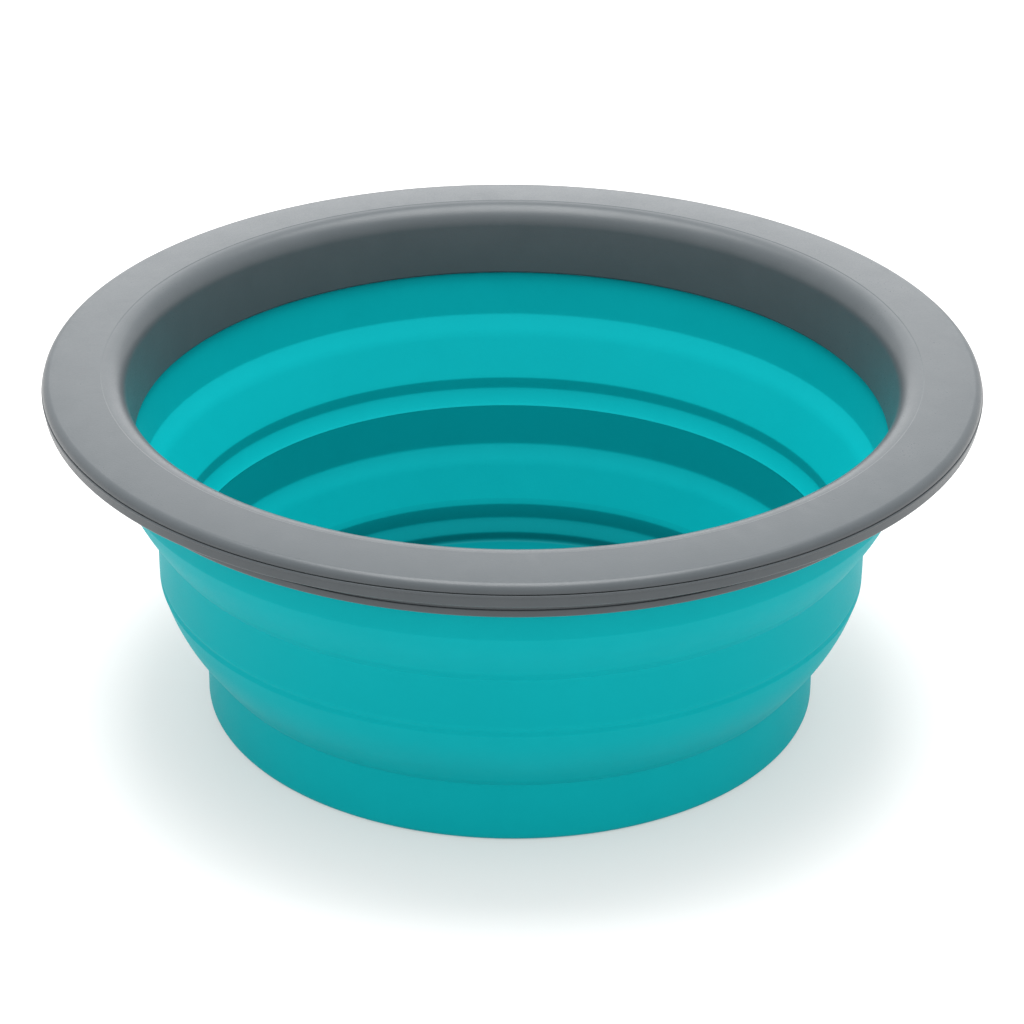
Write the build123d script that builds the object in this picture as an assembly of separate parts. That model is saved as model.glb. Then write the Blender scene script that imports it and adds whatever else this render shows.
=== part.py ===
from build123d import *
import os

# Round collapsible pet bathtub.  Millimetres, +Z up, origin at the middle of the base.
# Every piece is a ring or a disc about the Z axis.  Three stiff wall bands, each wider than
# the one below it, are joined by two cone-shaped folding walls that turn inside out when
# the tub is pushed flat.  A hollow rim holds the top band, and a plug closes the floor.

# Overall sizes
rim_radius = 190.0
tub_height = 150.0

# Wall bands: outer radius steps, wall thicknesses and heights
flange_overhang = 28.5
upper_step = 15.3
lower_step = 18.8
upper_band_wall = 9.5
middle_band_wall = 12.2
lower_band_wall = 9.9
upper_band_height = 9.7
middle_band_height = 25.1
lower_band_height = 25.8

# Folding walls: how much taller the lower one is, their thickness across the wall,
# and how far their outer faces bulge out, and their inner faces swell in, from a straight cone
fold_height_difference = 8.9
upper_fold_top_wall = 4.4
upper_fold_foot_wall = 4.5
lower_fold_top_wall = 4.8
lower_fold_foot_wall = 4.0
upper_fold_bulge = 1.2
lower_fold_bulge = 2.6
fold_bulge_place = 0.43
fold_bulge_round = 60.0
upper_fold_swell = 1.0
lower_fold_swell = 0.8
fold_swell_place = 0.3
fold_swell_round = 25.0

# The ridge at the foot of each fold outside, and the small step below it inside
upper_ridge_lip = 3.6
upper_ridge_height = 4.4
lower_ridge_lip = 2.3
lower_ridge_height = 2.7
upper_foot_ledge = 4.1
lower_foot_ledge = 3.85
upper_foot_drop = 5.0
lower_foot_drop = 6.8
upper_shelf_drop = 7.8
lower_shelf_drop = 5.6

# Rim: top shell with its rolled inner collar, bottom shell, and the ring that clamps the wall
rim_depth = 30.1
rim_skin = 3.0
flange_fall = 1.2
rim_shoulder_round = 3.5
rim_parting_drop = 4.8
rim_edge_draft = 0.6
rim_tongue_height = 1.0
rim_tongue_width = 2.6
inner_roll_round = 9.3
hollow_roll_round = 5.5
collar_draft = 3.66
collar_wall = 3.4
collar_end_round = 0.8
bottom_shell_drop = 10.3
bottom_shell_plate = 2.5
clamp_height = 13.0
clamp_width = 12.75
clamp_draft = 0.7
clamp_round = 1.2

# The wall's top bead, which the clamp ring and the bottom shell hold, and its recess inside
bead_width = 4.5
bead_height = 5.5
collar_recess = 1.8

# Base: foot ring under the lower band, soft floor, stiff plate below it
foot_ring_width = 12.8
foot_round = 2.5
floor_top = 3.6
floor_skin = 1.8
base_plate_thickness = 1.2

# Drain: seat moulded into the floor, plug with a pinch knob
drain_bore_radius = 14.0
drain_seat_wall = 4.85
drain_seat_flange = 4.15
drain_seat_flange_height = 1.2
plug_cap_overlap = 5.5
plug_cap_thickness = 2.2
plug_taper = 0.5
plug_end_lift = 0.4
knob_stem_radius = 5.0
knob_stem_height = 3.6
knob_radius = 8.0
knob_height = 4.0
knob_chamfer = 1.5
knob_round = 1.5
small_round = 0.6

# Clearances
moulding_clearance = 0.15
hinge_gap = 0.3
plug_clearance = 0.3

# Radii of the bands, outside and inside
upper_band_radius = rim_radius - flange_overhang
middle_band_radius = upper_band_radius - upper_step
lower_band_radius = middle_band_radius - lower_step
upper_inner_radius = upper_band_radius - upper_band_wall
middle_inner_radius = middle_band_radius - middle_band_wall
lower_inner_radius = lower_band_radius - lower_band_wall

# Heights from the base up.  The folds share the height that the bands and the rim leave.
collar_foot = tub_height - rim_depth
fold_total = (collar_foot - upper_band_height - middle_band_height - lower_band_height
              - upper_ridge_height - lower_ridge_height)
lower_fold_height = (fold_total + fold_height_difference) / 2
upper_fold_height = (fold_total - fold_height_difference) / 2
lower_fold_foot = lower_band_height + lower_ridge_height
lower_fold_top = lower_fold_foot + lower_fold_height
upper_fold_foot = lower_fold_top + middle_band_height + upper_ridge_height
upper_fold_top = upper_fold_foot + upper_fold_height
bottom_shell_under = tub_height - bottom_shell_drop
clamp_top = bottom_shell_under - moulding_clearance
clamp_foot = clamp_top - clamp_height


def ring(corners):
    """Spin a closed outline about Z.  Each corner is radius, height, and its rounding or 0."""
    face = Face(Wire.make_polygon([(radius, 0, height) for radius, height, _ in corners]))
    for radius, height, rounding in corners:
        if rounding:
            corner = face.vertices().sort_by_distance((radius, 0, height))[0]
            face = face.fillet_2d(rounding, [corner])
    return revolve(face, Axis.Z)


def height_on_line(radius, low, high):
    """Height at which the straight line through two (radius, height) points has a radius."""
    along = (radius - low[0]) / (high[0] - low[0])
    return low[1] + along * (high[1] - low[1])


def fold_corners(foot, top, foot_radius, top_radius, foot_wall, top_wall, above, below):
    """Inner end heights of a fold: where its inner face meets the bands above and below."""
    low = (foot_radius - foot_wall, foot)
    high = (top_radius - top_wall, top)
    return height_on_line(below, low, high), height_on_line(above, low, high)


def face_corner(top, foot, place, offset, rounding):
    """A rounded corner on a fold's face: part of the way down it, and offset outward."""
    fall, inset = top[1] - foot[1], top[0] - foot[0]
    face_length = (fall ** 2 + inset ** 2) ** 0.5
    radius = top[0] - place * inset + offset * fall / face_length
    height = top[1] - place * fall - offset * inset / face_length
    return (radius, height, rounding)


def bulged_out(top, foot, bulge):
    return face_corner(top, foot, fold_bulge_place, bulge, fold_bulge_round)


def swollen_in(top, foot, swell):
    return face_corner(top, foot, fold_swell_place, -swell, fold_swell_round)


# Outer ends of each fold, and the heights of its inner ends
upper_ridge_radius = middle_band_radius + upper_ridge_lip
lower_ridge_radius = lower_band_radius + lower_ridge_lip
upper_ledge_radius = middle_inner_radius + upper_foot_ledge
lower_ledge_radius = lower_inner_radius + lower_foot_ledge
upper_fold_inner_foot, upper_fold_inner_top = fold_corners(
    upper_fold_foot, upper_fold_top, upper_ridge_radius, upper_band_radius,
    upper_fold_foot_wall, upper_fold_top_wall, upper_inner_radius, upper_ledge_radius)
lower_fold_inner_foot, lower_fold_inner_top = fold_corners(
    lower_fold_foot, lower_fold_top, lower_ridge_radius, middle_band_radius,
    lower_fold_foot_wall, lower_fold_top_wall, middle_inner_radius, lower_ledge_radius)

# Collar faces at its foot and where its slope would reach the top of the rim
collar_foot_radius = upper_inner_radius + collar_recess
collar_top_radius = collar_foot_radius + collar_draft
hollow_top = tub_height - rim_skin
collar_foot_outside = collar_foot_radius + collar_wall


def collar_outside(height):
    """Outer radius of the collar at a height, which the wall's sleeve fits around."""
    return collar_foot_outside + collar_draft * (height - collar_foot) / rim_depth


def make_rim_top_shell():
    parting = tub_height - rim_parting_drop
    skirt_inside = rim_radius - rim_skin
    return ring([
        (rim_radius, parting, 0),
        (rim_radius, tub_height - flange_fall, rim_shoulder_round),
        (collar_top_radius + inner_roll_round, tub_height, 0),
        (collar_top_radius, tub_height, inner_roll_round),
        (collar_foot_radius, collar_foot, collar_end_round),
        (collar_foot_outside, collar_foot, collar_end_round),
        (collar_outside(hollow_top), hollow_top, hollow_roll_round),
        (skirt_inside, hollow_top, small_round),
        (skirt_inside, parting, 0),
    ])


def make_rim_bottom_shell():
    seam = tub_height - rim_parting_drop - moulding_clearance
    plate_top = bottom_shell_under + bottom_shell_plate
    tongue_outside = rim_radius - rim_skin - moulding_clearance
    tongue_inside = tongue_outside - rim_tongue_width
    inner_edge = collar_outside(plate_top) + moulding_clearance
    return ring([
        (rim_radius, seam, 0),
        (rim_radius - rim_edge_draft, bottom_shell_under, small_round),
        (inner_edge, bottom_shell_under, 0),
        (inner_edge, plate_top, 0),
        (tongue_inside, plate_top, 0),
        (tongue_inside, seam + rim_tongue_height, 0),
        (tongue_outside, seam + rim_tongue_height, 0),
        (tongue_outside, seam, 0),
    ])


def make_wall_clamp_ring():
    inside = upper_band_radius + moulding_clearance
    outside = upper_band_radius + clamp_width
    bead_under = clamp_top - bead_height - moulding_clearance
    bead_outside = upper_band_radius + bead_width + moulding_clearance
    return ring([
        (outside, clamp_top, 0),
        (outside - clamp_draft, clamp_foot, clamp_round),
        (inside, clamp_foot, small_round),
        (inside, bead_under, 0),
        (bead_outside, bead_under, 0),
        (bead_outside, clamp_top, 0),
    ])


def make_upper_wall_band():
    bead_top = clamp_top
    bead_under = bead_top - bead_height
    recess_top = collar_foot - moulding_clearance
    sleeve_top = collar_outside(bead_top) + moulding_clearance
    sleeve_foot = collar_outside(recess_top) + moulding_clearance
    return ring([
        (upper_band_radius, upper_fold_top, 0),
        (upper_band_radius, bead_under, 0),
        (upper_band_radius + bead_width, bead_under, 0),
        (upper_band_radius + bead_width, bead_top, 0),
        (sleeve_top, bead_top, 0),
        (sleeve_foot, recess_top, 0),
        (collar_foot_radius + collar_recess, recess_top, 0),
        (upper_inner_radius, upper_fold_inner_top, 0),
    ])


def make_upper_fold():
    outer_top = (upper_band_radius, upper_fold_top)
    outer_foot = (upper_ridge_radius, upper_fold_foot)
    inner_top = (upper_inner_radius, upper_fold_inner_top)
    inner_foot = (upper_ledge_radius, upper_fold_inner_foot + hinge_gap)
    return ring([
        (*outer_top, 0),
        (*inner_top, 0),
        swollen_in(inner_top, inner_foot, upper_fold_swell),
        (*inner_foot, 0),
        (middle_band_radius, upper_fold_foot - upper_ridge_height + hinge_gap, 0),
        (*outer_foot, small_round),
        bulged_out(outer_top, outer_foot, upper_fold_bulge),
    ])


def make_middle_wall_band():
    ledge_foot = upper_fold_inner_foot - upper_foot_drop
    return ring([
        (middle_band_radius, lower_fold_top, 0),
        (middle_band_radius, upper_fold_foot - upper_ridge_height, 0),
        (upper_ledge_radius, upper_fold_inner_foot, 0),
        (upper_ledge_radius, ledge_foot, 0),
        (middle_inner_radius, ledge_foot - upper_shelf_drop, 0),
        (middle_inner_radius, lower_fold_inner_top, 0),
    ])


def make_lower_fold():
    outer_top = (middle_band_radius, lower_fold_top)
    outer_foot = (lower_ridge_radius, lower_fold_foot)
    inner_top = (middle_inner_radius, lower_fold_inner_top)
    inner_foot = (lower_ledge_radius, lower_fold_inner_foot + hinge_gap)
    return ring([
        (*outer_top, 0),
        (*inner_top, 0),
        swollen_in(inner_top, inner_foot, lower_fold_swell),
        (*inner_foot, 0),
        (lower_band_radius, lower_band_height + hinge_gap, 0),
        (*outer_foot, small_round),
        bulged_out(outer_top, outer_foot, lower_fold_bulge),
    ])


def make_lower_wall_band():
    ledge_foot = lower_fold_inner_foot - lower_foot_drop
    foot_inside = lower_band_radius - foot_ring_width
    return ring([
        (lower_band_radius, 0, foot_round),
        (lower_band_radius, lower_band_height, 0),
        (lower_ledge_radius, lower_fold_inner_foot, 0),
        (lower_ledge_radius, ledge_foot, 0),
        (lower_inner_radius, ledge_foot - lower_shelf_drop, 0),
        (lower_inner_radius, floor_top, 0),
        (foot_inside, floor_top, 0),
        (foot_inside, 0, small_round),
    ])


def floor_disc(top, thickness, outer_clearance):
    """A disc inside the foot ring, with the drain seat's hole through its middle."""
    outside = lower_band_radius - foot_ring_width - outer_clearance
    hole = drain_bore_radius + drain_seat_wall + outer_clearance
    return ring([
        (hole, top - thickness, 0),
        (outside, top - thickness, 0),
        (outside, top, 0),
        (hole, top, 0),
    ])


def make_floor_panel():
    return floor_disc(floor_top, floor_skin, 0)


def make_base_plate():
    return floor_disc(floor_top - floor_skin, base_plate_thickness, moulding_clearance)


def make_drain_seat():
    body = drain_bore_radius + drain_seat_wall
    seat_foot = floor_top - floor_skin - base_plate_thickness
    flange_top = floor_top + drain_seat_flange_height
    return ring([
        (drain_bore_radius, seat_foot, 0),
        (body, seat_foot, 0),
        (body, floor_top, 0),
        (body + drain_seat_flange, floor_top, 0),
        (body + drain_seat_flange, flange_top, small_round),
        (drain_bore_radius, flange_top, 0),
    ])


def make_drain_plug():
    seat_top = floor_top + drain_seat_flange_height
    end = floor_top - floor_skin - base_plate_thickness + plug_end_lift
    body = drain_bore_radius - plug_clearance
    cap = drain_bore_radius + plug_cap_overlap
    cap_top = seat_top + plug_cap_thickness
    stem_top = cap_top + knob_stem_height
    knob_top = stem_top + knob_height
    return ring([
        (0, end, 0),
        (body - plug_taper, end, small_round),
        (body, seat_top, 0),
        (cap, seat_top, small_round),
        (cap, cap_top, small_round),
        (knob_stem_radius, cap_top, small_round),
        (knob_stem_radius, stem_top, 0),
        (knob_radius, stem_top + knob_chamfer, 0),
        (knob_radius, knob_top, knob_round),
        (0, knob_top, 0),
    ])


pieces = {
    "rim_top_shell": make_rim_top_shell,
    "rim_bottom_shell": make_rim_bottom_shell,
    "wall_clamp_ring": make_wall_clamp_ring,
    "upper_wall_band": make_upper_wall_band,
    "upper_fold": make_upper_fold,
    "middle_wall_band": make_middle_wall_band,
    "lower_fold": make_lower_fold,
    "lower_wall_band": make_lower_wall_band,
    "floor_panel": make_floor_panel,
    "base_plate": make_base_plate,
    "drain_seat": make_drain_seat,
    "drain_plug": make_drain_plug,
}

os.makedirs("parts", exist_ok=True)
for name, make in pieces.items():
    export_step(make(), f"parts/{name}.step")
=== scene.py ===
import math
import bpy
import bmesh
from mathutils import Matrix, Vector
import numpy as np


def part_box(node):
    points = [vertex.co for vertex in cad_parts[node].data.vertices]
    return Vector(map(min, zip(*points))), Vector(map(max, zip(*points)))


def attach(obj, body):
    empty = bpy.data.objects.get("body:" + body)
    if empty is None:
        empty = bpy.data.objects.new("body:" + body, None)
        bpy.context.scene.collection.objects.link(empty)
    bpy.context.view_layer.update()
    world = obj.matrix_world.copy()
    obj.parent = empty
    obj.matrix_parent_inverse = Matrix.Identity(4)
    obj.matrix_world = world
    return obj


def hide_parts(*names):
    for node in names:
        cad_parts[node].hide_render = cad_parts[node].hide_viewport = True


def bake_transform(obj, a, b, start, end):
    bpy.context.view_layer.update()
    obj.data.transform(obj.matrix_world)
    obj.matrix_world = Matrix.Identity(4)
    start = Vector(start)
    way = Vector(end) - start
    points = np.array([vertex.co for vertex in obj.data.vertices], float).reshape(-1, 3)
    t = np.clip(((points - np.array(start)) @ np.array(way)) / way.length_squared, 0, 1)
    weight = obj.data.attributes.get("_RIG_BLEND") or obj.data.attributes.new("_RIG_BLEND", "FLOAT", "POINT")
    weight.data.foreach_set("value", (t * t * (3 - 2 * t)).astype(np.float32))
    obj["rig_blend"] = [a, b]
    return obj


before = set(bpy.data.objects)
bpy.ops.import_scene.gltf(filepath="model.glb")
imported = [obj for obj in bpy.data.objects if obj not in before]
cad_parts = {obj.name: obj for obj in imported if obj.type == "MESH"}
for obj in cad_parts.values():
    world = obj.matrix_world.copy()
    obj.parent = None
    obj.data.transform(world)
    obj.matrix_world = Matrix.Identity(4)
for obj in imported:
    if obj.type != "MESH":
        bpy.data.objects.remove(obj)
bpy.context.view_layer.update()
print("frame loaded:", len(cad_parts), "CAD nodes")

mm = 0.001
turn = 2 * math.pi
spinSteps = 288
mergeDistance = 0.00001
sharpAngle = math.radians(38)
fitGap = 0.15 * mm      # clearance between pieces that are fitted together
fineRound = 0.2 * mm
smallRound = 0.3 * mm
edgeRound = 0.4 * mm
softEdge = 0.6 * mm
cornerShare = 0.01      # a point this near a rounded corner counts as its edge


# places taken from the CAD pieces

def outerRadius(node):
    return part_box(node)[1].x


def topOf(node):
    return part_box(node)[1].z


def footOf(node):
    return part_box(node)[0].z


rimRadius = outerRadius("rim_top_shell")
tubHeight = topOf("rim_top_shell")
collarFoot = footOf("rim_top_shell")
clampRadius = outerRadius("wall_clamp_ring")
clampTop = topOf("wall_clamp_ring")
clampFoot = footOf("wall_clamp_ring")
rimUnderside = footOf("rim_bottom_shell")
upperRadius = outerRadius("upper_fold")
beadRadius = outerRadius("upper_wall_band")
upperFoldTop = topOf("upper_fold")
middleRadius = outerRadius("middle_wall_band")
middleTop = topOf("middle_wall_band")
middleFoot = footOf("middle_wall_band")
lowerFoldTop = topOf("lower_fold")
lowerFoldInnerFoot = footOf("lower_fold")
upperFoldInnerFoot = footOf("upper_fold")
upperFoldInnerTop = footOf("upper_wall_band")
lowerRadius = outerRadius("lower_wall_band")
lowerTop = topOf("lower_wall_band")
floorRadius = outerRadius("floor_panel")
floorTop = topOf("floor_panel")
floorUnder = footOf("floor_panel")


def roundCorner(bm, vert, radius, segments):
    # swaps one corner of an outline for an arc of that radius
    ways = [(edge.other_vert(vert).co - vert.co) for edge in vert.link_edges]
    half = ways[0].angle(ways[1]) / 2
    place = vert.co.copy()
    before = set(bm.verts)
    bmesh.ops.bevel(bm, geom=[vert], offset=radius / math.tan(half), offset_type="OFFSET",
                    segments=segments, profile=0.5, affect="VERTICES", material=-1)
    edgeLayer = bm.verts.layers.float["edge"]
    for new in bm.verts:
        if new not in before or (new.co - place).length < radius * cornerShare:
            new[edgeLayer] = 1.0


def spinOutline(name, corners, closed=True, longest=0.02, arcSegments=6):
    # corners: radius, height, rounding. The outline turns once about the Z axis.
    bm = bmesh.new()
    bm.verts.layers.float.new("edge")
    verts = [bm.verts.new((radius, 0, height)) for radius, height, _ in corners]
    pairs = list(zip(verts, verts[1:] + verts[:1]))
    for a, b in pairs if closed else pairs[:-1]:
        bm.edges.new((a, b))
    for vert, (_, _, rounding) in zip(verts, corners):
        if rounding:
            roundCorner(bm, vert, rounding, arcSegments)
    for edge in list(bm.edges):
        cuts = math.ceil(edge.calc_length() / longest) - 1
        if cuts > 0:
            bmesh.ops.subdivide_edges(bm, edges=[edge], cuts=cuts)
    bmesh.ops.spin(bm, geom=bm.verts[:] + bm.edges[:], cent=(0, 0, 0), axis=(0, 0, 1),
                   angle=turn, steps=spinSteps, use_merge=True)
    bmesh.ops.remove_doubles(bm, verts=bm.verts[:], dist=mergeDistance)
    bmesh.ops.recalc_face_normals(bm, faces=bm.faces[:])
    return meshPiece(name, bm)


def meshPiece(name, bm):
    mesh = bpy.data.meshes.new(name)
    bm.to_mesh(mesh)
    bm.free()
    mesh.shade_smooth()
    mesh.set_sharp_from_angle(angle=sharpAngle)
    piece = bpy.data.objects.new(name, mesh)
    bpy.context.scene.collection.objects.link(piece)
    return piece


rim = {
    "skin": 3.0 * mm,
    "shoulder": 3.5 * mm,
    "flangeFall": 1.2 * mm,
    "partingDrop": 4.8 * mm,
    "partingGap": 0.3 * mm,
    "partingRound": 0.4 * mm,
    "lipProud": 0.35 * mm,       # a fine lip along the seam, on the bottom shell
    "lipHeight": 0.9 * mm,
    "lipFall": 0.3 * mm,
    "bottomInset": 0.35 * mm,
    "bottomRound": 1.0 * mm,
    "roll": 9.3 * mm,
    "rollStep": 0.15 * mm,       # the flange stands this much above the rolled edge
    "stepInset": 0.6 * mm,
    "stepWidth": 0.4 * mm,
    "stepRound": 0.15 * mm,
    "collarInset": 7.7 * mm,     # from the wall's outside to the collar's inside
    "hollowRoll": 5.5 * mm,
    "collarDraft": 3.66 * mm,
    "collarWall": 3.4 * mm,
    "endRound": 1.0 * mm,
    "edgeDraft": 0.3 * mm,
    "plate": 2.5 * mm,
    "tongue": 2.6 * mm,
    "tongueRise": 1.0 * mm,
    "plateInset": 1.4 * mm,      # how far the bottom plate reaches in past the wall's outside
    "clampDraft": 0.7 * mm,
    "clampRound": 1.2 * mm,
    "beadHeight": 5.65 * mm,
    "grooveFoot": 3.3 * mm,      # a fine groove around the clamp ring, above its foot
    "grooveHeight": 1.0 * mm,
    "grooveDepth": 1.1 * mm,
    "grooveTopInset": 0.4 * mm,
    "grooveFootInset": 0.5 * mm,
}
collarRadius = upperRadius - rim["collarInset"]


def makeRimTop():
    top = collarRadius + rim["collarDraft"]
    skirt = rimRadius - rim["skin"]
    hollow = tubHeight - rim["skin"]
    parting = tubHeight - rim["partingDrop"] + rim["partingGap"] / 2
    outside = collarRadius + rim["collarWall"]
    stepRadius = top + rim["roll"] - rim["stepInset"]
    return spinOutline("rimTop", [
        (rimRadius, parting, smallRound),
        (rimRadius, tubHeight - rim["flangeFall"], rim["shoulder"]),
        (stepRadius + rim["stepWidth"], tubHeight, fineRound),
        (stepRadius, tubHeight - rim["rollStep"], rim["stepRound"]),
        (top, tubHeight - rim["rollStep"], rim["roll"]),
        (collarRadius, collarFoot, rim["endRound"]),
        (outside, collarFoot, rim["endRound"]),
        (outside + rim["collarDraft"], hollow, rim["hollowRoll"]),
        (skirt, hollow, softEdge),
        (skirt, parting, fineRound),
    ], arcSegments=10)


def makeRimBottom():
    seam = tubHeight - rim["partingDrop"] - rim["partingGap"] / 2
    tongueOut = rimRadius - rim["skin"] - fitGap
    tongueIn = tongueOut - rim["tongue"]
    inner = upperRadius - rim["plateInset"]
    plateTop = rimUnderside + rim["plate"]
    return spinOutline("rimBottom", [
        (rimRadius + rim["lipProud"], seam, rim["partingRound"]),
        (rimRadius + rim["lipProud"], seam - rim["lipHeight"], smallRound),
        (rimRadius - rim["bottomInset"], seam - rim["lipHeight"] - rim["lipFall"], fineRound),
        (rimRadius - rim["edgeDraft"], rimUnderside, rim["bottomRound"]),
        (inner, rimUnderside, smallRound),
        (inner, plateTop, smallRound),
        (tongueIn, plateTop, 0),
        (tongueIn, seam + rim["tongueRise"], fineRound),
        (tongueOut, seam + rim["tongueRise"], fineRound),
        (tongueOut, seam, 0),
    ])


def makeClampRing():
    inside = upperRadius + fitGap
    beadUnder = clampTop - rim["beadHeight"]
    beadOut = beadRadius + fitGap
    grooveLow = clampFoot + rim["grooveFoot"]
    grooveHigh = grooveLow + rim["grooveHeight"]
    grooveIn = clampRadius - rim["grooveDepth"]
    return spinOutline("clampRing", [
        (clampRadius, clampTop, smallRound),
        (clampRadius - rim["grooveTopInset"], grooveHigh, fineRound),
        (grooveIn, grooveHigh, fineRound),
        (grooveIn, grooveLow, fineRound),
        (clampRadius - rim["grooveFootInset"], grooveLow, edgeRound),
        (clampRadius - rim["clampDraft"], clampFoot, rim["clampRound"]),
        (inside, clampFoot, softEdge),
        (inside, beadUnder, fineRound),
        (beadOut, beadUnder, fineRound),
        (beadOut, clampTop, fineRound),
    ])


wall = {
    "upperWall": 9.5 * mm,
    "middleWall": 12.2 * mm,
    "lowerWall": 9.9 * mm,
    "upperBulge": 1.2 * mm,
    "lowerBulge": 2.6 * mm,
    "bulgePlace": 0.43,
    "bulgeRound": 60 * mm,
    "upperSwell": 1.0 * mm,
    "lowerSwell": 0.8 * mm,
    "swellPlace": 0.3,
    "swellRound": 25 * mm,
    "upperRidge": 3.6 * mm,
    "upperRidgeHeight": 4.4 * mm,
    "lowerRidge": 2.3 * mm,
    "lowerRidgeHeight": 2.7 * mm,
    "upperLedge": 4.1 * mm,
    "lowerLedge": 3.85 * mm,
    "upperFootDrop": 5.0 * mm,
    "lowerFootDrop": 6.8 * mm,
    "upperShelfDrop": 7.8 * mm,
    "lowerShelfDrop": 5.6 * mm,
    "recess": 1.8 * mm,
    "softRound": 2.0 * mm,
    "ridgeRound": 1.5 * mm,
    "innerRound": 1.6 * mm,
    "footRound": 2.5 * mm,
    "cutAboveFold": 4.65 * mm,   # where the two wall pieces meet, above the lower fold's top
    "grooveDepth": 0.7 * mm,
    "grooveTop": 3.4 * mm,       # the groove above the lower fold, from the fold's top
    "grooveFoot": 1.7 * mm,
    "grooveRound": 0.8 * mm,
    "lowerFoldRound": 0.9 * mm,
    "floorRound": 1.6 * mm,
    "beadHeight": 5.5 * mm,
    "hemInset": 2.4 * mm,
    "seatOverlap": 4.15 * mm,    # the drain seat's flange over the floor
    "foldSpacing": 1.6 * mm,     # distance between points along the folds
    "middleStill": 11 * mm,      # the upper wall stays with the middle tier this far above the cut
    "blendMargin": 1.0 * mm,
}
cutHeight = lowerFoldTop + wall["cutAboveFold"]
middleInner = middleRadius - wall["middleWall"]
lowerInner = lowerRadius - wall["lowerWall"]


def faceCorner(top, foot, place, offset, rounding):
    # a rounded corner part of the way down a folding face, offset outward
    along = Vector((foot[0] - top[0], foot[1] - top[1]))
    outward = Vector((-along.y, along.x)).normalized()
    spot = Vector(top[:2]) + along * place + outward * offset
    return (spot.x, spot.y, rounding)


def bulgedOut(top, foot, bulge):
    return faceCorner(top, foot, wall["bulgePlace"], bulge, wall["bulgeRound"])


def swollenIn(top, foot, swell):
    return faceCorner(top, foot, wall["swellPlace"], -swell, wall["swellRound"])


def makeWallUpper():
    ledgeFoot = upperFoldInnerFoot - wall["upperFootDrop"]
    sleeve = collarRadius + rim["collarWall"] + fitGap
    recessTop = collarFoot - fitGap
    beadUnder = clampTop - wall["beadHeight"]
    foldTop = (upperRadius, upperFoldTop, wall["softRound"])
    ridge = (middleRadius + wall["upperRidge"], middleTop + wall["upperRidgeHeight"], wall["ridgeRound"])
    innerFoot = (middleInner + wall["upperLedge"], upperFoldInnerFoot, wall["innerRound"])
    innerTop = (upperRadius - wall["upperWall"], upperFoldInnerTop, wall["softRound"])
    return spinOutline("wallUpper", [
        (sleeve + wall["hemInset"], clampTop, 0),
        (beadRadius, clampTop, edgeRound),
        (beadRadius, beadUnder, edgeRound),
        (upperRadius, beadUnder, edgeRound),
        foldTop,
        bulgedOut(foldTop, ridge, wall["upperBulge"]),
        ridge,
        (middleRadius, middleTop, wall["ridgeRound"]),
        (middleRadius, cutHeight, 0),
        (middleInner, cutHeight, 0),
        (middleInner, ledgeFoot - wall["upperShelfDrop"], wall["innerRound"]),
        (middleInner + wall["upperLedge"], ledgeFoot, wall["innerRound"]),
        innerFoot,
        swollenIn(innerTop, innerFoot, wall["upperSwell"]),
        innerTop,
        (collarRadius + wall["recess"], recessTop, softEdge),
        (sleeve, recessTop, 0),
    ], longest=wall["foldSpacing"])


def makeWallLower():
    ledgeFoot = lowerFoldInnerFoot - wall["lowerFootDrop"]
    hole = outerRadius("drain_seat") - wall["seatOverlap"]
    depth = wall["grooveDepth"]
    foldTop = (middleRadius, lowerFoldTop, wall["lowerFoldRound"])
    ridge = (lowerRadius + wall["lowerRidge"], lowerTop + wall["lowerRidgeHeight"], wall["ridgeRound"])
    innerFoot = (lowerInner + wall["lowerLedge"], lowerFoldInnerFoot, wall["innerRound"])
    innerTop = (middleInner, middleFoot, wall["softRound"])
    return spinOutline("wallLower", [
        (middleRadius, cutHeight, 0),
        (middleRadius, lowerFoldTop + wall["grooveTop"], wall["grooveRound"]),
        (middleRadius - depth, lowerFoldTop + wall["grooveFoot"], wall["grooveRound"]),
        foldTop,
        bulgedOut(foldTop, ridge, wall["lowerBulge"]),
        ridge,
        (lowerRadius, lowerTop, wall["ridgeRound"]),
        (lowerRadius, 0, wall["footRound"]),
        (floorRadius, 0, softEdge),
        (floorRadius, floorUnder, smallRound),
        (hole, floorUnder, 0),
        (hole, floorTop, 0),
        (lowerInner, floorTop, wall["floorRound"]),
        (lowerInner, ledgeFoot - wall["lowerShelfDrop"], wall["innerRound"]),
        (lowerInner + wall["lowerLedge"], ledgeFoot, wall["innerRound"]),
        innerFoot,
        swollenIn(innerTop, innerFoot, wall["lowerSwell"]),
        innerTop,
        (middleInner, cutHeight, 0),
    ], longest=wall["foldSpacing"])


drain = {
    "bore": 14.0 * mm,
    "clearance": 0.3 * mm,
    "flange": 4.15 * mm,
    "stem": 5.0 * mm,
    "knob": 8.0 * mm,
    "capOverlap": 5.5 * mm,
    "capHeight": 2.2 * mm,
    "capRound": 0.9 * mm,
    "bodyTaper": 0.5 * mm,
    "bodyRound": 0.8 * mm,
    "stemHeight": 3.6 * mm,
    "stemRound": 1.6 * mm,
    "knobUnderside": 1.5 * mm,
    "knobRound": 1.6 * mm,
    "knobDish": 0.3 * mm,
    "seatRound": 0.7 * mm,
    "seatFoot": 0.1 * mm,
}
basePlate = {
    "grooves": (0.42, 0.86),     # places of the two ring grooves, as shares of its radius
    "grooveDepth": 0.6 * mm,
    "grooveEdges": (0.8 * mm, 2.2 * mm, 3.0 * mm),
}


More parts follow.
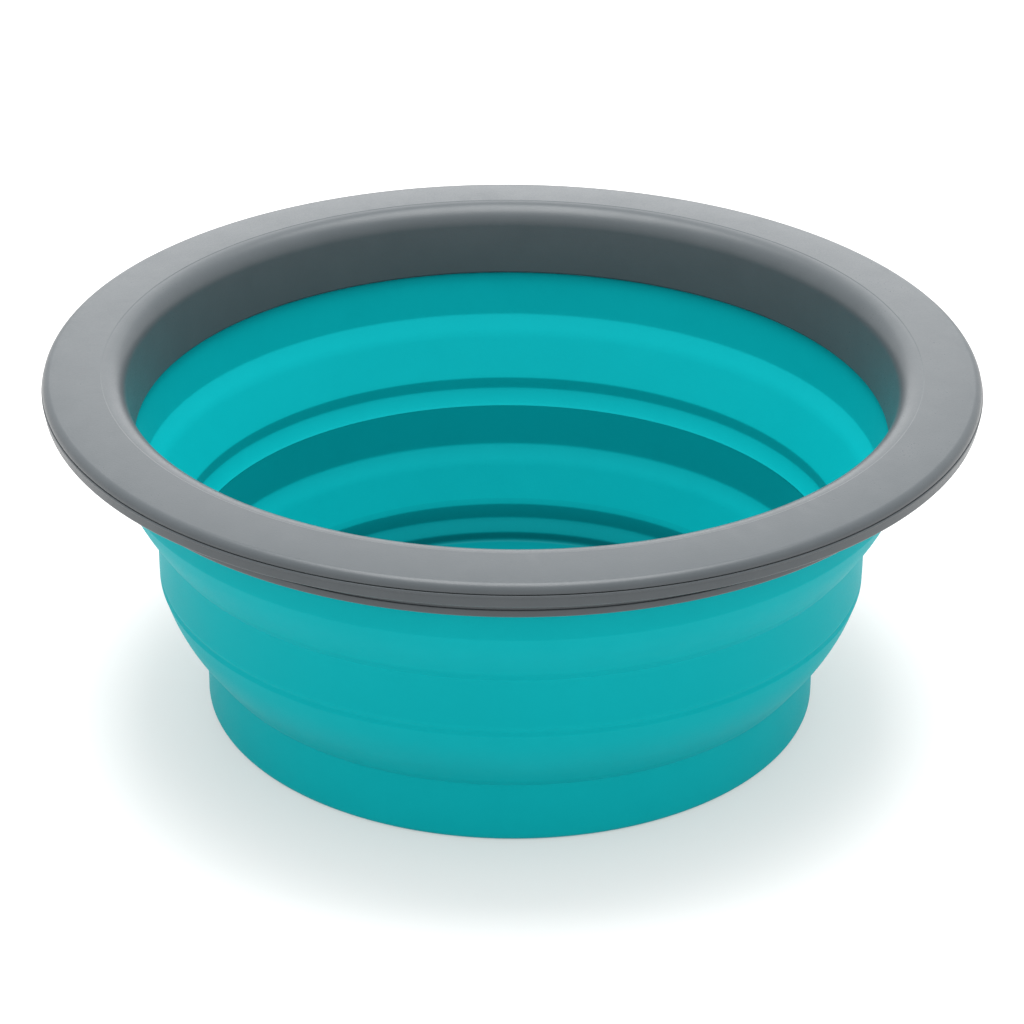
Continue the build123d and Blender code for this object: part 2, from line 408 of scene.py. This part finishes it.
def makeBasePlate():
    low, high = footOf("base_plate"), topOf("base_plate")
    outside = outerRadius("base_plate")
    hole = outerRadius("drain_seat") - drain["flange"] + fitGap
    corners = [(hole, low, edgeRound)]
    for share in basePlate["grooves"]:
        start = outside * share
        wallIn, wallOut, end = basePlate["grooveEdges"]
        corners += [
            (start, low, smallRound),
            (start + wallIn, low + basePlate["grooveDepth"], smallRound),
            (start + wallOut, low + basePlate["grooveDepth"], smallRound),
            (start + end, low, smallRound),
        ]
    corners += [(outside, low, edgeRound), (outside, high, 0), (hole, high, 0)]
    return spinOutline("basePlate", corners)


def makeDrainSeat():
    low, high = footOf("drain_seat"), topOf("drain_seat")
    flange = outerRadius("drain_seat")
    body = flange - drain["flange"]
    return spinOutline("drainSeat", [
        (drain["bore"], low, edgeRound),
        (body, low, edgeRound),
        (body, floorTop, 0),
        (flange, floorTop, drain["seatFoot"]),
        (flange, high, drain["seatRound"]),
        (drain["bore"], high, smallRound),
    ])


def makeDrainPlug():
    low, high = footOf("drain_plug"), topOf("drain_plug")
    seat = topOf("drain_seat")
    body = drain["bore"] - drain["clearance"]
    cap = drain["bore"] + drain["capOverlap"]
    capTop = seat + drain["capHeight"]
    stemTop = capTop + drain["stemHeight"]
    return spinOutline("drainPlug", [
        (0, low, 0),
        (body - drain["bodyTaper"], low, drain["bodyRound"]),
        (body, seat, fineRound),
        (cap, seat, edgeRound),
        (cap, capTop, drain["capRound"]),
        (drain["stem"], capTop, drain["stemRound"]),
        (drain["stem"], stemTop, softEdge),
        (drain["knob"], stemTop + drain["knobUnderside"], drain["bodyRound"]),
        (drain["knob"], high, drain["knobRound"]),
        (0, high - drain["knobDish"], 0),
    ], closed=False)


def newGroup(name, inputs, outputs):
    group = bpy.data.node_groups.new(name, "ShaderNodeTree")
    for label, kind, value in inputs:
        socket = group.interface.new_socket(label, in_out="INPUT", socket_type=kind)
        if value is not None:
            socket.default_value = value
    for label, kind in outputs:
        group.interface.new_socket(label, in_out="OUTPUT", socket_type=kind)
    return group, group.nodes.new("NodeGroupInput"), group.nodes.new("NodeGroupOutput")


def addNode(tree, kind, settings=None, values=None):
    node = tree.nodes.new(kind)
    for key, value in (settings or {}).items():
        setattr(node, key, value)
    for key, value in (values or {}).items():
        node.inputs[key].default_value = value
    return node


def addMath(tree, operation, a, b=None, clamp=False):
    node = addNode(tree, "ShaderNodeMath", {"operation": operation, "use_clamp": clamp})
    for index, value in enumerate((a, b)):
        if value is None:
            continue
        if isinstance(value, (int, float)):
            node.inputs[index].default_value = value
        else:
            tree.links.new(value, node.inputs[index])
    return node.outputs[0]


def makeMouldGrain():
    # fine moulded grain: height for a bump and a mask for the roughness
    group, source, sink = newGroup("mouldGrain", [
        ("Scale", "NodeSocketFloat", 1400.0),
        ("Unevenness", "NodeSocketFloat", 0.35),
    ], [("Height", "NodeSocketFloat"), ("Mask", "NodeSocketFloat")])
    link = group.links.new
    coords = addNode(group, "ShaderNodeTexCoord")
    fine = addNode(group, "ShaderNodeTexNoise", None, {"Detail": 2.0, "Roughness": 0.55})
    broad = addNode(group, "ShaderNodeTexNoise", None, {"Scale": 55.0, "Detail": 3.0, "Roughness": 0.5})
    link(coords.outputs["Object"], fine.inputs["Vector"])
    link(coords.outputs["Object"], broad.inputs["Vector"])
    link(source.outputs["Scale"], fine.inputs["Scale"])
    centred = addMath(group, "SUBTRACT", broad.outputs["Fac"], 0.5)
    swell = addMath(group, "MULTIPLY", centred, source.outputs["Unevenness"])
    link(addMath(group, "ADD", fine.outputs["Fac"], swell), sink.inputs["Height"])
    link(fine.outputs["Fac"], sink.inputs["Mask"])
    return group


def makeSoftMottle():
    # slow variation of tone, as a mask about 0.5
    group, source, sink = newGroup("softMottle", [
        ("Scale", "NodeSocketFloat", 14.0),
        ("Contrast", "NodeSocketFloat", 1.0),
    ], [("Mask", "NodeSocketFloat")])
    link = group.links.new
    coords = addNode(group, "ShaderNodeTexCoord")
    slow = addNode(group, "ShaderNodeTexNoise", None, {"Detail": 4.0, "Roughness": 0.6, "Distortion": 0.4})
    link(coords.outputs["Object"], slow.inputs["Vector"])
    link(source.outputs["Scale"], slow.inputs["Scale"])
    centred = addMath(group, "SUBTRACT", slow.outputs["Fac"], 0.5)
    spread = addMath(group, "MULTIPLY", centred, source.outputs["Contrast"])
    link(addMath(group, "ADD", spread, 0.5, clamp=True), sink.inputs["Mask"])
    return group


def makeRubbedEdge():
    # rounded corners, broken up by noise
    group, source, sink = newGroup("rubbedEdge", [
        ("Edge", "NodeSocketFloat", 0.0),
        ("Amount", "NodeSocketFloat", 0.5),
    ], [("Mask", "NodeSocketFloat")])
    link = group.links.new
    coords = addNode(group, "ShaderNodeTexCoord")
    patches = addNode(group, "ShaderNodeTexNoise", None, {"Scale": 70.0, "Detail": 5.0, "Roughness": 0.65})
    link(coords.outputs["Object"], patches.inputs["Vector"])
    broken = addMath(group, "MULTIPLY", source.outputs["Edge"], patches.outputs["Fac"])
    link(addMath(group, "MULTIPLY", broken, source.outputs["Amount"], clamp=True), sink.inputs["Mask"])
    return group


def makePaintedDepthShade():
    # painted shade: darkens the colour towards the floor, inside the given radius
    group, source, sink = newGroup("paintedDepthShade", [
        ("Height", "NodeSocketFloat", 0.02),
        ("Radius", "NodeSocketFloat", 0.12),
    ], [("Mask", "NodeSocketFloat")])
    link = group.links.new
    coords = addNode(group, "ShaderNodeTexCoord")
    split = addNode(group, "ShaderNodeSeparateXYZ")
    link(coords.outputs["Object"], split.inputs["Vector"])
    drop = addMath(group, "DIVIDE", split.outputs["Z"], source.outputs["Height"])
    low = addMath(group, "SUBTRACT", 1.0, drop, clamp=True)
    xSquare = addMath(group, "MULTIPLY", split.outputs["X"], split.outputs["X"])
    ySquare = addMath(group, "MULTIPLY", split.outputs["Y"], split.outputs["Y"])
    reach = addMath(group, "SQRT", addMath(group, "ADD", xSquare, ySquare))
    inside = addMath(group, "LESS_THAN", reach, source.outputs["Radius"])
    link(addMath(group, "MULTIPLY", low, inside, clamp=True), sink.inputs["Mask"])
    return group


mouldGrain = makeMouldGrain()
paintedDepthShade = makePaintedDepthShade()
softMottle = makeSoftMottle()
rubbedEdge = makeRubbedEdge()


def placeGroup(tree, group, values):
    node = tree.nodes.new("ShaderNodeGroup")
    node.node_tree = group
    for key, value in values.items():
        node.inputs[key].default_value = value
    return node


def mixColours(tree, factor, a, b):
    node = addNode(tree, "ShaderNodeMix", {"data_type": "RGBA"})
    tree.links.new(factor, node.inputs["Factor"])
    for socket, value in (("A", a), ("B", b)):
        target = next(s for s in node.inputs if s.name == socket and s.type == "RGBA")
        if isinstance(value, tuple):
            target.default_value = (*value, 1.0)
        else:
            tree.links.new(value, target)
    return next(s for s in node.outputs if s.type == "RGBA")


def mouldedMaterial(name, look):
    material = bpy.data.materials.new(name)
    material.use_nodes = True
    tree = material.node_tree
    shader = tree.nodes["Principled BSDF"]
    shader.inputs["Specular IOR Level"].default_value = look["specular"]
    shader.inputs["Sheen Weight"].default_value = look["sheen"]
    shader.inputs["Sheen Roughness"].default_value = look["sheenRoughness"]
    shader.inputs["Sheen Tint"].default_value = (*look["sheenTint"], 1.0)
    grain = placeGroup(tree, mouldGrain, {"Scale": look["grainScale"], "Unevenness": look["unevenness"]})
    mottle = placeGroup(tree, softMottle, {"Scale": look["mottleScale"], "Contrast": look["mottle"]})
    edge = placeGroup(tree, rubbedEdge, {"Amount": look["wear"]})
    marked = addNode(tree, "ShaderNodeAttribute", {"attribute_name": "edge"})
    tree.links.new(marked.outputs["Fac"], edge.inputs["Edge"])
    tone = mixColours(tree, mottle.outputs["Mask"], look["dark"], look["light"])
    specks = addMath(tree, "MULTIPLY", grain.outputs["Mask"], look["speckle"])
    speckle = mixColours(tree, specks, tone, look["speck"])
    worn = mixColours(tree, edge.outputs["Mask"], speckle, look["worn"])
    # painted shade mixed over the worn colour: darker towards the floor, inside the wall
    if "paintedShade" in look:
        paintedShade = placeGroup(tree, paintedDepthShade, {"Height": look["paintedShadeHeight"], "Radius": look["paintedShadeRadius"]})
        worn = mixColours(tree, paintedShade.outputs["Mask"], worn, look["paintedShade"])
    tree.links.new(worn, shader.inputs["Base Color"])
    grainAboutZero = addMath(tree, "SUBTRACT", grain.outputs["Mask"], 0.5)
    rough = addMath(tree, "MULTIPLY", grainAboutZero, look["roughnessGrain"])
    mottleAboutZero = addMath(tree, "SUBTRACT", mottle.outputs["Mask"], 0.5)
    slow = addMath(tree, "MULTIPLY", mottleAboutZero, look["roughnessSlow"])
    polish = addMath(tree, "MULTIPLY", edge.outputs["Mask"], look["wearPolish"])
    uneven = addMath(tree, "ADD", rough, slow)
    total = addMath(tree, "ADD", uneven, addMath(tree, "ADD", polish, look["roughness"]))
    tree.links.new(total, shader.inputs["Roughness"])
    bump = addNode(tree, "ShaderNodeBump", None, {"Strength": look["bump"], "Distance": look["bumpDepth"]})
    tree.links.new(grain.outputs["Height"], bump.inputs["Height"])
    tree.links.new(bump.outputs["Normal"], shader.inputs["Normal"])
    return material


rimGreyLook = {
    "dark": (0.042, 0.050, 0.0555),
    "light": (0.053, 0.061, 0.0665),
    "speck": (0.081, 0.090, 0.096),
    "worn": (0.076, 0.085, 0.091),
    "speckle": 0.16,
    "specular": 0.26,
    "sheen": 0.0,
    "sheenRoughness": 0.5,
    "sheenTint": (1.0, 1.0, 1.0),
    "roughness": 0.38,
    "roughnessGrain": 0.25,
    "roughnessSlow": 0.12,
    "grainScale": 1500.0,
    "unevenness": 0.5,
    "mottleScale": 9.0,
    "mottle": 0.9,
    "wear": 0.5,
    "wearPolish": -0.15,
    "bump": 0.30,
    "bumpDepth": 0.00012,
}
wallTealLook = {
    "dark": (0.0004, 0.265, 0.290),
    "light": (0.0008, 0.305, 0.333),
    "speck": (0.003, 0.335, 0.360),
    "worn": (0.003, 0.342, 0.368),
    # the floor's own tone, guessed: leave it out for a plain teal floor
    "paintedShade": (0.0003, 0.125, 0.140),   # painted shade: a darker teal over the floor, the drain plug and the lower inside of the wall, darker towards the bottom; leave it out for a plain teal floor
    "paintedShadeHeight": 26 * mm,
    "paintedShadeRadius": 122.5 * mm,
    "speckle": 0.18,
    "specular": 0.03,
    "sheen": 0.03,
    "sheenRoughness": 0.25,
    "sheenTint": (0.75, 1.0, 1.0),
    "roughness": 0.48,
    "roughnessGrain": 0.2,
    "roughnessSlow": 0.15,
    "grainScale": 1300.0,
    "unevenness": 0.9,
    "mottleScale": 11.0,
    "mottle": 0.8,
    "wear": 0.35,
    "wearPolish": -0.15,
    "bump": 0.28,
    "bumpDepth": 0.00012,
}
basePlateLook = {**rimGreyLook, "dark": (0.09, 0.10, 0.11), "light": (0.12, 0.13, 0.14), "wear": 0.8}

rimGrey = mouldedMaterial("rimGrey", rimGreyLook)
wallTeal = mouldedMaterial("wallTeal", wallTealLook)
basePlateGrey = mouldedMaterial("basePlateGrey", basePlateLook)
print("materials made")


def dress(piece, material):
    piece.data.materials.clear()
    piece.data.materials.append(material)


# each stiff piece, its finish, the body it rides on and the node it stands for
ridingPieces = [
    (makeRimTop, rimGrey, "rim_grey", "upper_tier", "rim_top_shell"),
    (makeRimBottom, rimGrey, "rim_grey", "upper_tier", "rim_bottom_shell"),
    (makeClampRing, rimGrey, "rim_grey", "upper_tier", "wall_clamp_ring"),
    (makeBasePlate, basePlateGrey, "base_grey", "base", "base_plate"),
    (makeDrainSeat, rimGrey, "fitting_grey", "base", "drain_seat"),
    (makeDrainPlug, wallTeal, "plug_teal", "plug", "drain_plug"),
]
for make, material, slotName, body, node in ridingPieces:
    piece = make()
    dress(piece, material)
    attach(piece, body)
    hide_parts(node)
    print("made", piece.name)

wallUpper = makeWallUpper()
dress(wallUpper, wallTeal)
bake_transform(wallUpper, "middle_tier", "upper_tier",
         start=(0, 0, cutHeight + wall["middleStill"]), end=(0, 0, upperFoldTop - wall["blendMargin"]))
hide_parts("upper_wall_band", "upper_fold", "middle_wall_band")

wallLower = makeWallLower()
dress(wallLower, wallTeal)
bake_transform(wallLower, "base", "middle_tier",
         start=(0, 0, lowerFoldInnerFoot + wall["blendMargin"]), end=(0, 0, cutHeight - wall["blendMargin"]))
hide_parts("lower_wall_band", "lower_fold", "floor_panel")
print("made the wall")


studio = {
    "floorSize": 12.0,
    "floorRoughness": 0.8,
    "floorSpecular": 0.1,
    "floorTone": (0.53, 0.525, 0.52, 1.0),
    "glowTone": (1.0, 0.985, 0.98, 1.0),
    "floorGlow": 0.34,
    "skyStrength": 1.3,
    "aim": (0, 0, 0.08),
    # each softbox: name, place, size, power
    "softboxes": [
        ("topSoftbox", (0.0, 0.3, 2.2), 1.5, 73.0),
        ("frontSoftbox", (-0.1, -0.6, 2.2), 1.1, 6.0),
        ("backSoftbox", (0.0, 2.2, 0.95), 1.5, 10.0),
    ],
}


def makeFloor():
    bm = bmesh.new()
    bmesh.ops.create_grid(bm, x_segments=4, y_segments=4, size=studio["floorSize"] / 2)
    mesh = bpy.data.meshes.new("studioFloor")
    bm.to_mesh(mesh)
    bm.free()
    floor = bpy.data.objects.new("studioFloor", mesh)
    bpy.context.scene.collection.objects.link(floor)
    material = bpy.data.materials.new("paleFloor")
    material.use_nodes = True
    shader = material.node_tree.nodes["Principled BSDF"]
    shader.inputs["Base Color"].default_value = studio["floorTone"]
    shader.inputs["Roughness"].default_value = studio["floorRoughness"]
    shader.inputs["Specular IOR Level"].default_value = studio["floorSpecular"]
    shader.inputs["Emission Color"].default_value = studio["glowTone"]
    shader.inputs["Emission Strength"].default_value = studio["floorGlow"]
    floor.data.materials.append(material)


def makeLight(name, place, size, power):
    data = bpy.data.lights.new(name, "AREA")
    data.shape = "SQUARE"
    data.size = size
    data.energy = power
    light = bpy.data.objects.new(name, data)
    bpy.context.scene.collection.objects.link(light)
    light.location = place
    light.rotation_euler = (Vector(studio["aim"]) - Vector(place)).to_track_quat("-Z", "Y").to_euler()


def makeWorld():
    world = bpy.data.worlds.new("studioSky")
    bpy.context.scene.world = world
    world.use_nodes = True
    background = world.node_tree.nodes["Background"]
    background.inputs["Color"].default_value = (1.0, 1.0, 1.0, 1.0)
    background.inputs["Strength"].default_value = studio["skyStrength"]


camera = {
    "place": Vector((0.0, -1.3234, 0.7725)),
    "target": Vector((0.0, 0.0, 0.0797)),
    "lens": 126.5,
    "sensorWidth": 36.0,
    "clipStart": 0.05,
    "roll": 0.0082,
    "shiftX": 0.0007,
}


def makeCamera():
    data = bpy.data.cameras.new("studioCamera")
    data.lens = camera["lens"]
    data.sensor_width = camera["sensorWidth"]
    data.shift_x = camera["shiftX"]
    data.clip_start = camera["clipStart"]
    holder = bpy.data.objects.new("studioCamera", data)
    bpy.context.scene.collection.objects.link(holder)
    aim = (camera["target"] - camera["place"]).to_track_quat("-Z", "Y").to_matrix().to_4x4()
    roll = Matrix.Rotation(camera["roll"], 4, "Z")
    holder.matrix_world = Matrix.Translation(camera["place"]) @ aim @ roll
    bpy.context.scene.camera = holder


makeFloor()
makeWorld()
for softbox in studio["softboxes"]:
    makeLight(*softbox)
makeCamera()
bpy.context.scene.view_settings.view_transform = "Standard"
print("studio ready")
